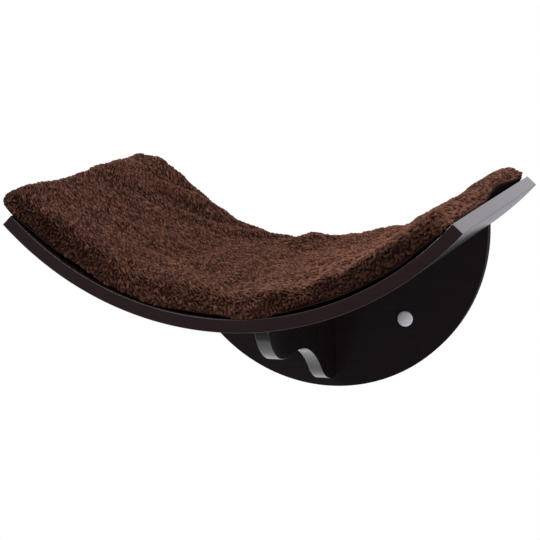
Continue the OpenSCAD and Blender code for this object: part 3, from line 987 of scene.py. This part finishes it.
def build_cushion():
    c = Cushion()
    xyz = c.xyz.copy()
    xyz = xyz + simulate(c) * (1 - 0.55 * np.clip((-np.degrees(c.s / RI) - 38.0) / 7.0, 0, 1))[:, None]
    faces = c.top_faces + c.side_faces
    used = sorted({v for f in faces for v in f})
    renum = {v: n for n, v in enumerate(used)}
    coarse = make_mesh("cover_coarse", xyz[used], [tuple(renum[v] for v in f) for f in faces])
    uv = coarse.uv_layers.new(name="OFBake")
    uv.data.foreach_set("uv", np.array(side_uv(c), np.float32).ravel())
    co = new_object("cover_coarse", coarse)
    sub = co.modifiers.new("smooth", "SUBSURF")
    sub.levels = sub.render_levels = 3
    sub.boundary_smooth = "PRESERVE_CORNERS"
    dg = bpy.context.evaluated_depsgraph_get()
    fine = bpy.data.meshes.new_from_object(co.evaluated_get(dg))
    fine.name = "plush_cover"
    nrm_c = np.zeros(len(coarse.vertices) * 3, np.float32)
    coarse.vertex_normals.foreach_get("vector", nrm_c)
    nrm_c = nrm_c.reshape(-1, 3).astype(float)
    bpy.data.objects.remove(co)

    n = len(fine.vertices)
    P = np.zeros(n * 3, np.float32)
    fine.vertices.foreach_get("co", P)
    P = P.reshape(-1, 3).astype(float) / MM
    N = np.zeros(n * 3, np.float32)
    fine.vertex_normals.foreach_get("vector", N)
    N = N.reshape(-1, 3).astype(float)
    rng = np.random.default_rng(20)
    phi = np.arctan2(P[:, 0], ZC - P[:, 2])
    deg = np.degrees(phi)
    radial = np.stack([-np.sin(phi), np.zeros(n), np.cos(phi)], 1)       # away from the seat
    along = np.stack([np.cos(phi), np.zeros(n), np.sin(phi)], 1)         # along the arc
    upness = (N * radial).sum(1)
    side = np.clip((0.80 - upness) / 0.5, 0, 1)                           # 1 on the upright sides
    right = np.clip((deg - 24.0) / 14.0, 0, 1)                            # 1 near the right end
    big = np.clip(np.maximum(side, right), 0, 1)

    # soft lumps of the pile, and a furrow along the right end
    lump = lattice_noise(P, 13.0, rng) * (0.20 + 0.55 * big) + lattice_noise(P, 6.0, rng) * (0.10 + 0.46 * big)
    lump *= 1 - 0.6 * np.clip((-deg - 38.0) / 7.0, 0, 1)                  # the left end is smoother
    lump += lattice_noise(P, 8.0, rng) * 0.95 * right * side
    hgt_seat = RI - np.hypot(P[:, 0], ZC - P[:, 2])
    furrow = 11.0 + 2.2 * np.sin(P[:, 1] / 19.0) - 2.5 * np.clip((-P[:, 1] - 120.0) / 60.0, 0, 1)
    crease = right * side * np.exp(-((hgt_seat - furrow) / 2.2) ** 2) * np.clip((P[:, 1] + 190.0) / 40.0, 0, 1)
    lump -= 2.9 * crease

    # the tufts: combed on the top, hanging and tangled on the sides, longer curls at the right end
    def blend(top, edge, end):
        return top + (edge - top) * side * (1 - right) + (end - top) * right

    tall, gap = blend(1.6, 1.22, 2.2), blend(2.0, 2.25, 3.25)
    floor_at = -0.8
    pick = rng.permutation(n)[: n // 3]
    seeds = pick[scatter(P[pick], gap[pick], rng)]
    m = len(seeds)
    fore = np.array([0.0, -1.0, 0.0])
    comb = np.radians(33.0) * np.clip((18.0 - deg[seeds]) / 24.0, 0.15, 1)        # slanted towards the front
    t = along[seeds] * np.cos(comb)[:, None] + fore * np.sin(comb)[:, None]
    hang = -radial[seeds] + 0.35 * along[seeds]
    t = t * (1 - side[seeds])[:, None] + hang * side[seeds][:, None]
    t -= N[seeds] * (t * N[seeds]).sum(1, keepdims=True)
    t /= np.maximum(np.linalg.norm(t, axis=1, keepdims=True), 1e-6)
    b = np.cross(N[seeds], t)
    turn = rng.normal(0, 1, m) * blend(0.22, 0.80, 1.1)[seeds]
    t, b = (t * np.cos(turn)[:, None] + b * np.sin(turn)[:, None], -t * np.sin(turn)[:, None] + b * np.cos(turn)[:, None])
    rho = blend(7.0, 4.5, 3.2)[seeds] * rng.uniform(0.7, 1.8, m) * rng.choice([-1, 1], m)
    length = blend(3.9, 1.98, 3.5)[seeds] * rng.uniform(0.6, 1.35, m)
    width = blend(0.98, 1.16, 1.66)[seeds] * rng.uniform(0.7, 1.35, m)
    high = tall[seeds] * rng.uniform(0.65, 1.35, m)
    lift = rng.normal(0, 1, m) * blend(0.20, 0.26, 0.36)[seeds]
    shade = rng.uniform(0, 1, m)

    tree = kdtree.KDTree(m)
    for i in range(m):
        tree.insert(P[seeds[i]], i)
    tree.balance()
    K = 14
    near = np.array([[q[1] for q in tree.find_n(p, K)] for p in P.tolist()])
    # each place is looked up a little beside itself, so that no tuft has a clean outline
    sway = np.stack([lattice_noise(P, 2.6, rng) for _ in range(3)], 1) * (0.24 + 0.36 * big)[:, None]
    Q = P + sway
    best = np.full(n, floor_at)
    who = near[:, 0].copy()
    across, onward = np.zeros(n), np.zeros(n)
    for q in range(K):
        j = near[:, q]
        d = Q - P[seeds[j]]
        u = (d * t[j]).sum(1)
        v = (d * b[j]).sum(1)
        r = rho[j]
        av = np.where(r > 0, r - v, v - r)
        ang = np.arctan2(u, av)
        rad = np.hypot(u, av) - np.abs(r)
        lu = np.clip(ang * np.abs(r) / length[j], -1.5, 1.5)
        dd = lu * lu + (rad / width[j]) ** 2
        hgt = np.where(dd < 1, lift[j] + high[j] * np.clip(1 - dd, 0, 1) ** 0.75 * (0.82 + 0.18 * lu) + floor_at * np.clip(dd, 0, 1), floor_at)
        win = hgt > best
        best = np.where(win, hgt, best)
        who = np.where(win, j, who)
        across, onward = np.where(win, rad / width[j], across), np.where(win, lu, onward)
    pile = np.clip((best - floor_at) / (tall + 0.2 - floor_at), 0, 1)
    fuzz = lattice_noise(P, 1.15, rng) * (0.10 + 0.15 * big)
    # at the sewn lower edge the pile is pressed flat
    s_edge, y_edge = RI * phi, P[:, 1]
    hem_at = under_height(s_edge, y_edge) + 0.9 + hem_rise(s_edge, y_edge, np.zeros(n) + (y_edge > -262) * 99.0,
                                                           np.zeros(n) + (deg < 43.0) * 99.0)
    press = np.where(side > 0.5, np.clip((hgt_seat - hem_at - 0.4) / 2.0, 0.2, 1), 1.0)
    front = side * np.clip(-1.5 * N[:, 1], 0, 1)
    calm = front * (0.3 + 0.7 * np.clip((deg - 14.0) / 12.0, 0, 1))       # flatter, closer pile on the front, most at its right
    # the painted shade between the curls is weaker on the calm front and stronger at the right end and on the top's
    # right half
    pile += (0.5 - pile) * (0.42 * calm - 1.5 * right * (1 - front) - 0.3 * np.clip(deg / 18.0, 0, 1) * (1 - side) * (1 - right))
    # painted shade along the furrow of the right end
    pile -= 0.2 * crease
    stand = (best - 0.1) * (1 - 0.28 * calm) + lump + fuzz
    stand += right * (np.where(stand > 1.6, 1.6 + 0.7 * np.tanh((stand - 1.6) / 0.7), stand) - stand)     # no curl sticks out alone
    P2 = P + N * (stand * press)[:, None]
    P2 -= radial * (0.55 * np.clip(best + 0.3, 0, None) * side * press)[:, None]          # the tufts of the sides hang
    ease = lambda x: np.clip(x, 0, 1) ** 2 * (3 - 2 * np.clip(x, 0, 1))
    above = hgt_seat - hem_at
    hangs = curve(deg, DROOP) * np.clip((-P[:, 1] - 262.0) / 6.0, 0, 1) * np.clip(1.6 * side, 0, 1)
    hangs *= ease((above - 0.3) / 2.2) * (1 - ease((above - 5.0) / 9.0))
    P2 += (0.5 * fore - radial) * hangs[:, None]
    # nothing reaches the seat
    r2 = np.hypot(P2[:, 0], ZC - P2[:, 2])
    limit = RI - 0.45
    over = r2 > limit
    k = np.where(over, limit / r2, 1.0)
    P2[:, 0] *= k
    P2[:, 2] = ZC - (ZC - P2[:, 2]) * k
    # nor the wall
    P2[:, 1] = np.where(P2[:, 1] > -1.6, -1.6 + 1.2 * np.tanh((P2[:, 1] + 1.6) / 1.2), P2[:, 1])
    fine.vertices.foreach_set("co", (P2 * MM).astype(np.float32).ravel())

    # close the cover to a shell: a rim under the hem and an inner face
    # painted light and shade on the cover, kept as an attribute for the plush: lighter on the sides of the right end,
    # on the top's right half and along parts of the front
    painted_light_and_shade = right * side * np.clip(1.6 * (N * along).sum(1), 0, 1)
    painted_light_and_shade += front * curve(deg, PAINTED_LIGHT_FRONT) + 1.2 * right * side * np.clip(1.6 * (N * along).sum(1), 0, 1)
    painted_light_and_shade += (0.52 * np.clip(deg / 18.0, 0, 1) + 0.35 * right) * (1 - side)
    painted_light_and_shade += front * np.clip(1.25 - (hgt_seat - hem_at) / 7.0, 0, 1) * np.clip((14.0 - deg) / 14.0, 0, 1) * 1.2       # painted light, lighter towards the seam
    painted_light_and_shade += front * np.exp(-((hgt_seat - hem_at - 5.0) / 2.8) ** 2) * np.clip((deg - 4.0) / 10.0, 0, 1) * np.clip((46.0 - deg) / 6.0, 0, 1)
    # painted highlights on the ridges of the folds and on the front's upper edge, painted shade in the hollows of the
    # folds
    lip = np.exp(-((CB + P[:, 1] - CY - 9.0) / 5.0) ** 2) * np.clip((deg + 2.0) / 8.0, 0, 1) * np.clip((42.0 - deg) / 6.0, 0, 1)
    painted_light_and_shade += (0.13 * folds(deg, P[:, 1]) + 0.55 * lip) * (1 - side)
    marks = (("pile", pile, 0.35), ("tint", shade[who], 0.5), ("curly", big, 0.0), ("painted_light_and_shade", painted_light_and_shade, 0.0),
             ("across", np.clip(across, -1.2, 1.2), 0.0), ("onward", np.clip(onward, -1.2, 1.2), 0.0))
    cover = close_shell(fine, c, xyz, used, renum, nrm_c, marks)
    fill = build_filling(c, xyz)
    base = build_base(c)
    return cover, fill, base


def close_shell(fine, c, xyz, used, renum, nrm_c, marks):
    n = len(fine.vertices)
    co = np.zeros(n * 3, np.float32)
    fine.vertices.foreach_get("co", co)
    co = co.reshape(-1, 3).astype(float) / MM
    nf = len(fine.polygons)
    lv = np.zeros(len(fine.loops), np.int32)
    fine.loops.foreach_get("vertex_index", lv)
    quads = lv.reshape(-1, 4)
    luv = np.zeros(len(fine.loops) * 2, np.float32)
    fine.uv_layers["OFBake"].data.foreach_get("uv", luv)
    # the open lower edge, in order
    e = np.concatenate([quads[:, [0, 1]], quads[:, [1, 2]], quads[:, [2, 3]], quads[:, [3, 0]]])
    key = np.sort(e, axis=1)
    _, first, cnt = np.unique(key[:, 0].astype(np.int64) * n + key[:, 1], return_index=True, return_counts=True)
    nxt = {int(a): int(b) for a, b in e[first[cnt == 1]]}
    start_at = xyz[c.rows[-1][0]]
    ring = list(nxt)
    start = ring[int(np.argmin(np.linalg.norm(co[ring] - start_at, axis=1)))]
    loop = [start]
    while nxt[loop[-1]] != start:
        loop.append(nxt[loop[-1]])
    count = len(c.around)
    per = len(loop) // count
    # the hem edge runs against the grid's own order if its second corner isn't at the next grid corner
    nxt_at = xyz[c.rows[-1][1]]
    if np.linalg.norm(co[loop[per % len(loop)]] - nxt_at) > np.linalg.norm(co[loop[-per]] - nxt_at):
        loop = [loop[0]] + loop[:0:-1]
        flip = True
    else:
        flip = False
    inner = xyz[used] - nrm_c * 4.2
    # the inner edge stays level with the hem
    rim = [renum[v] for v in c.rows[-1]]
    inner[rim] = xyz[c.rows[-1]] * 0.985 + 0.015 * np.array([0, CY, ZC]) - nrm_c[rim] * 2.2
    hr = RI - np.hypot(inner[:, 0], ZC - inner[:, 2])
    fix = np.clip(c.hb[used] + 0.6 - hr, 0, None)
    ph = np.arctan2(inner[:, 0], ZC - inner[:, 2])
    inner[:, 0] -= fix * np.sin(ph)
    inner[:, 2] += fix * np.cos(ph)
    verts = np.concatenate([co, inner])
    faces = quads.tolist()
    extra = []
    for f in c.top_faces + c.side_faces:
        extra.append(tuple(n + renum[v] for v in f[::-1]))
    for p in range(count):
        a, b = n + rim[p], n + rim[(p + 1) % count]
        fs = [loop[(p * per + q) % len(loop)] for q in range(per + 1)]
        halfway = per // 2
        for q in range(per):
            tip = a if q < halfway else b
            extra.append((fs[q], fs[q + 1], tip))
        extra.append((fs[halfway], b, a))
    me = bpy.data.meshes.new("plush_cover")
    me.from_pydata((verts * MM).tolist(), [], faces + extra)
    me.update()
    me.polygons.foreach_set("use_smooth", [True] * len(me.polygons))
    uv = me.uv_layers.new(name="OFBake")
    flat = np.concatenate([luv.reshape(-1, 2), np.zeros((len(me.loops) - len(lv), 2), np.float32)])
    ev = np.zeros(len(me.loops), np.int32)
    me.loops.foreach_get("vertex_index", ev)
    rest = ev[len(lv):]
    flat[len(lv):, 0] = (verts[rest, 0] + 230.0) / 474.0
    flat[len(lv):, 1] = 0.945 + (verts[rest, 1] + 280.0) / 280.0 * 0.05
    uv.data.foreach_set("uv", flat.astype(np.float32).ravel())
    for name, val, inside in marks:
        at = me.attributes.new(name, "FLOAT", "POINT")
        at.data.foreach_set("value", np.concatenate([val, np.full(len(inner), inside)]).astype(np.float32))
    # faces of the rim look down
    ob = new_object("plush_cover", me)
    import bmesh
    bm = bmesh.new()
    bm.from_mesh(me)
    bmesh.ops.recalc_face_normals(bm, faces=bm.faces)
    bm.to_mesh(me)
    bm.free()
    return ob


def build_filling(c, xyz):
    """The wadding: the cushion's own form drawn in by the thickness of the cover."""
    rng = np.random.default_rng(8)
    s = RI * np.arctan2(xyz[:, 0], ZC - xyz[:, 2])
    h = RI - np.hypot(xyz[:, 0], ZC - xyz[:, 2])
    s2 = CS + (s - CS) * (1 - 8.0 / CA)
    y2 = CY + (xyz[:, 1] - CY) * (1 - 8.0 / CB)
    tall = np.maximum(top_height(np.degrees(s2 / RI), y2) - c.hb, 8.0)
    low = c.hb + 1.3
    keep = np.clip((tall - 7.6) / tall, 0.1, 1)
    h2 = low + np.clip(h - c.hb, 0, None) * keep + 0.3 * np.clip(lattice_noise(xyz, 18.0, rng), -1.5, 0.5) * (c.kind < 3)
    me = make_mesh("fibre_pad", arc_point(s2 / RI, y2, RI - np.maximum(h2, low)), c.top_faces + c.side_faces + c.bottom_faces)
    return new_object("fibre_pad", me)


def build_base(c):
    """The base cloth: a thin panel sewn to the cover's lower edge."""
    nu, nv = len(c.us), len(c.vs)
    sb = np.repeat(c.us, nv) * (CA - 0.9) / CA
    yb = np.tile(c.vs, nu) * (CB - 0.9) / CB
    s, y = plan_place(sb, yb)
    e = np.minimum(CA - np.abs(sb), CB - np.abs(yb))
    rng = np.random.default_rng(4)
    p0 = np.stack([s, y, np.zeros_like(s)], 1)
    wave = 0.16 * lattice_noise(p0, 24.0, rng) + 0.08 * lattice_noise(p0, 11.0, rng)
    flat = under_height(s, y)
    h = flat + hem_rise(s, y, CB + yb, CA - sb) + np.clip(0.2 + wave, 0, 0.5) * np.clip(e / 10.0, 0, 1) * np.clip((2.6 - flat) / 1.5, 0, 1)
    lowp = arc_point(s / RI, y, RI - h)
    topp = arc_point(s / RI, y, RI - h - 0.85)
    n = len(s)
    at = lambda i, j: i * nv + j
    faces = []
    for i in range(nu - 1):
        for j in range(nv - 1):
            faces.append((at(i, j), at(i, j + 1), at(i + 1, j + 1), at(i + 1, j)))
            faces.append((n + at(i, j), n + at(i + 1, j), n + at(i + 1, j + 1), n + at(i, j + 1)))
    # its edge is turned up around the cover's lower edge
    ring = [at(i, j) for i, j in c.around]
    so, yo = np.array([c.us[i] for i, j in c.around]), np.array([c.vs[j] for i, j in c.around])
    rows, pts = [ring], [lowp, topp]
    for out, up_by in ((0.75, 0.25), (0.95, 0.8), (0.9, 1.45), (0.7, 1.65), (0.45, 1.5), (0.35, 1.05)):
        ss, yy = plan_place(np.sign(so) * (np.abs(so) + out * (np.abs(so) > CA - 1e-6)),
                            np.sign(yo) * (np.abs(yo) + out * (np.abs(yo) > CB - 1e-6)))
        rows.append(list(range(2 * n + (len(rows) - 1) * len(ring), 2 * n + len(rows) * len(ring))))
        pts.append(arc_point(ss / RI, yy, RI - h[ring] - up_by))
    rows.append([n + v for v in ring])
    for lower, upper in zip(rows[:-1], rows[1:]):
        for a in range(len(ring)):
            b = (a + 1) % len(ring)
            faces.append((lower[a], lower[b], upper[b], upper[a]))
    lowp, topp = np.concatenate(pts), np.zeros((0, 3))
    me = make_mesh("base_cloth", np.concatenate([lowp, topp]), faces)
    uv = me.uv_layers.new(name="OFBake")
    v = np.zeros(len(me.loops), np.int32)
    me.loops.foreach_get("vertex_index", v)
    su, yu = np.concatenate([sb, sb] + [so] * 6), np.concatenate([yb, yb] + [yo] * 6)
    up = v >= n
    u2 = np.stack([(su[v] + CA) / 460.0, (yu[v] + CB) / 560.0], 1)
    u2[up, 1] += 0.5
    uv.data.foreach_set("uv", u2.astype(np.float32).ravel())
    return new_object("base_cloth", me)


# ------------------------------------------------------------------ assembly
def give(ob, *materials):
    which = np.zeros(len(ob.data.polygons), np.int32)
    ob.data.polygons.foreach_get("material_index", which)
    ob.data.materials.clear()
    for m in materials:
        ob.data.materials.append(m)
    ob.data.polygons.foreach_set("material_index", np.minimum(which, len(materials) - 1))


wood_seat = lacquer("lacquer_seat", "x", (0.0240, 0.0132, 0.0138), (0.0310, 0.0165, 0.0172), (0.13, 0.18), 0.50)
# the seat's underside: a darker, less glossy copy of the seat's lacquer, painted shade
wood_under_shaded = lacquer("lacquer_seat_underside_shaded", "x", (0.0140, 0.0100, 0.0110), (0.0190, 0.0135, 0.0145), (0.135, 0.165), 0.08)
wood_board = lacquer("lacquer_board", "x", (0.0150, 0.0107, 0.0112), (0.0205, 0.0146, 0.0152), (0.14, 0.20), 0.40)
wood_edge = lacquer("lacquer_board_edge", "x", (0.0080, 0.0055, 0.0050), (0.0120, 0.0080, 0.0075), (0.50, 0.62), 0.03)
wood_bracket = lacquer("lacquer_bracket", "z", (0.0055, 0.0033, 0.0033), (0.0080, 0.0048, 0.0048), (0.16, 0.24), 0.36)
wood_lobes = lacquer("lacquer_bracket_edge", "z", (0.0110, 0.0085, 0.0085), (0.0150, 0.0115, 0.0115), (0.15, 0.20), 0.50)
seat = build_seat()
give(seat, wood_seat, wood_under_shaded)
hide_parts("seat_board")
board = build_back_board()
give(board, wood_board, wood_edge)
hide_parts("back_board")
bracket = build_bracket()
give(bracket, wood_bracket, wood_lobes)
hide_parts("support_bracket")
for o in (seat, board, bracket):
    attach(o, "shelf")

m_steel, m_cap = steel("zinc_steel"), cap_plastic("cap_grey")
for name in ("bracket_rear_screws", "bracket_top_screws", "seat_rear_screws"):
    give(NODES[name], m_steel)
for side, word in ((-1, "left"), (1, "right")):
    cap = build_cap("screw_cap_" + word, side)
    give(cap, m_cap)
    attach(cap, word + "_cap")
    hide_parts("wall_screw_cap_" + word)

m_hook = tape("hook_nylon", (0.006, 0.005, 0.005), (0.020, 0.017, 0.017))
m_loop = tape("loop_nylon", (0.008, 0.006, 0.006), (0.028, 0.022, 0.021))
for side, word in ((-1, "left"), (1, "right")):
    hook = build_tape("hook_strip_" + word, side, "hook")
    give(hook, m_hook)
    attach(hook, "shelf")
    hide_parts("hook_strips")
    loop = build_tape("loop_strip_" + word, side, "loop")
    give(loop, m_loop)
    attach(loop, "cushion")
    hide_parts("loop_strips")

cover, pad, base = build_cushion()
give(cover, plush("brown_plush"))
give(pad, fibre("white_wadding"))
give(base, woven("base_weave"))
for o, node, slot in ((cover, "cushion_top_cover", "plush"), (pad, "cushion_filling", "fibre_fill"), (base, "cushion_base_panel", "base_cloth")):
    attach(o, "cushion")
    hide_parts(node)

# ------------------------------------------------------------------ stage, light and camera
fl = bpy.data.meshes.new("floor")
fl.from_pydata([(-5, -0.9, -1.7), (5, -0.9, -1.7), (5, 2.6, -1.7), (-5, 2.6, -1.7)], [], [(0, 1, 2, 3)])
floor = new_object("floor", fl)
give(floor, pale_floor("pale_floor"))

sc = bpy.context.scene
world = bpy.data.worlds.new("studio")
sc.world = world
world.use_nodes = True
wt = world.node_tree
wt.nodes.clear()
w_out = wt.nodes.new("ShaderNodeOutputWorld")
w_bg = wt.nodes.new("ShaderNodeBackground")
w_co = wt.nodes.new("ShaderNodeTexCoord")
w_xyz = wt.nodes.new("ShaderNodeSeparateXYZ")
w_y = wt.nodes.new("ShaderNodeMath")
w_y.operation = "MULTIPLY_ADD"
w_y.inputs[1].default_value, w_y.inputs[2].default_value = 0.5, 0.5
w_abs = wt.nodes.new("ShaderNodeMath")      # more light from above than from below
w_abs.operation = "MAXIMUM"
w_low = wt.nodes.new("ShaderNodeMath")
w_low.operation = "MULTIPLY"
w_low.inputs[1].default_value = -0.4
w_z = wt.nodes.new("ShaderNodeMath")
w_z.operation = "MULTIPLY_ADD"
w_z.inputs[1].default_value = 0.30
w_ramp = wt.nodes.new("ShaderNodeValToRGB")
w_path = wt.nodes.new("ShaderNodeLightPath")
w_mix = wt.nodes.new("ShaderNodeMix")
w_mix.data_type = "RGBA"
stops = [(0.0, 0.03), (0.07, 0.045), (0.13, 0.11), (0.25, 0.30), (0.42, 0.425), (0.6, 0.50), (0.85, 0.65), (1.0, 0.62)]
el = w_ramp.color_ramp.elements
while len(el) < len(stops):
    el.new(0.5)
for e, (p, v) in zip(el, stops):
    e.position = p
    e.color = (v * 0.99, v * 0.985, v * 1.02, 1)
el[-1].color = (0.580, 0.576, 0.630, 1)
w_bg.inputs["Strength"].default_value = 1.0
w_gain = wt.nodes.new("ShaderNodeMix")
w_gain.data_type = "RGBA"
w_gain.blend_type = "MULTIPLY"
w_gain.inputs[0].default_value = 1.0
w_dim = wt.nodes.new("ShaderNodeMapRange")           # below the horizon it is dimmer
for key, v in zip(("From Min", "From Max", "To Min", "To Max"), (-0.45, -0.05, 0.95, 2.0)):
    w_dim.inputs[key].default_value = v
w_back = wt.nodes.new("ShaderNodeMath")              # and most of all behind the shelf
w_back.operation = "MAXIMUM"
w_back.inputs[1].default_value = 0.0
w_tilt = wt.nodes.new("ShaderNodeMath")
w_tilt.operation = "MULTIPLY_ADD"
w_tilt.inputs[1].default_value = -0.25
wt.links.new(w_xyz.outputs["Y"], w_back.inputs[0])
wt.links.new(w_back.outputs[0], w_tilt.inputs[0])
wt.links.new(w_xyz.outputs["Z"], w_tilt.inputs[2])
wt.links.new(w_tilt.outputs[0], w_dim.inputs["Value"])
wt.links.new(w_dim.outputs[0], w_gain.inputs[7])
wt.links.new(w_co.outputs["Generated"], w_xyz.inputs[0])
wt.links.new(w_xyz.outputs["Y"], w_y.inputs[0])
wt.links.new(w_xyz.outputs["Z"], w_abs.inputs[0])
wt.links.new(w_xyz.outputs["Z"], w_low.inputs[0])
wt.links.new(w_low.outputs[0], w_abs.inputs[1])
wt.links.new(w_abs.outputs[0], w_z.inputs[0])
wt.links.new(w_y.outputs[0], w_z.inputs[2])
wt.links.new(w_z.outputs[0], w_ramp.inputs[0])
wt.links.new(w_ramp.outputs[0], w_gain.inputs[6])
wt.links.new(w_path.outputs["Is Camera Ray"], w_mix.inputs[0])
wt.links.new(w_gain.outputs[2], w_mix.inputs[6])
w_mix.inputs[7].default_value = (1, 1, 1, 1)
wt.links.new(w_mix.outputs[2], w_bg.inputs["Color"])
wt.links.new(w_bg.outputs[0], w_out.inputs["Surface"])


def area(name, place, at, size, power, color=(1, 1, 1)):
    d = bpy.data.lights.new(name, "AREA")
    d.shape = "SQUARE"
    d.size = size
    d.energy = power
    d.color = color
    o = bpy.data.objects.new(name, d)
    sc.collection.objects.link(o)
    o.location = place
    o.rotation_mode = "QUATERNION"
    o.rotation_quaternion = (Vector(at) - Vector(place)).to_track_quat("-Z", "Y")
    o.visible_camera = False
    return o


area("top_softbox", (0.05, -0.45, 1.6), (0, -0.1, 0.05), 1.3, 18.0)
area("low_fill", (1.35, -0.75, -0.6), (0.05, -0.1, 0.05), 0.8, 7.5, (1.0, 0.955, 1.02))
area("left_softbox", (-1.5, -0.35, 0.75), (0.08, -0.14, 0.1), 0.7, 26.0)

cam_data = bpy.data.cameras.new("camera")
cam = bpy.data.objects.new("camera", cam_data)
sc.collection.objects.link(cam)
look = Vector((-0.34695, 0.92009, -0.18184)).normalized()
up = Vector((-0.02722, 0.18393, 0.98256)).normalized()
right_v = look.cross(up).normalized()
up = right_v.cross(look)
rot = Matrix((right_v, up, -look)).transposed().to_4x4()
cam.matrix_world = Matrix.Translation((0.54484, -1.61493, 0.36079)) @ rot
cam_data.lens = 117.43
cam_data.sensor_width = 36.0
cam_data.clip_start, cam_data.clip_end = 0.05, 400.0
sc.camera = cam
sc.view_settings.view_transform = "Standard"
sc.view_settings.look = "None"
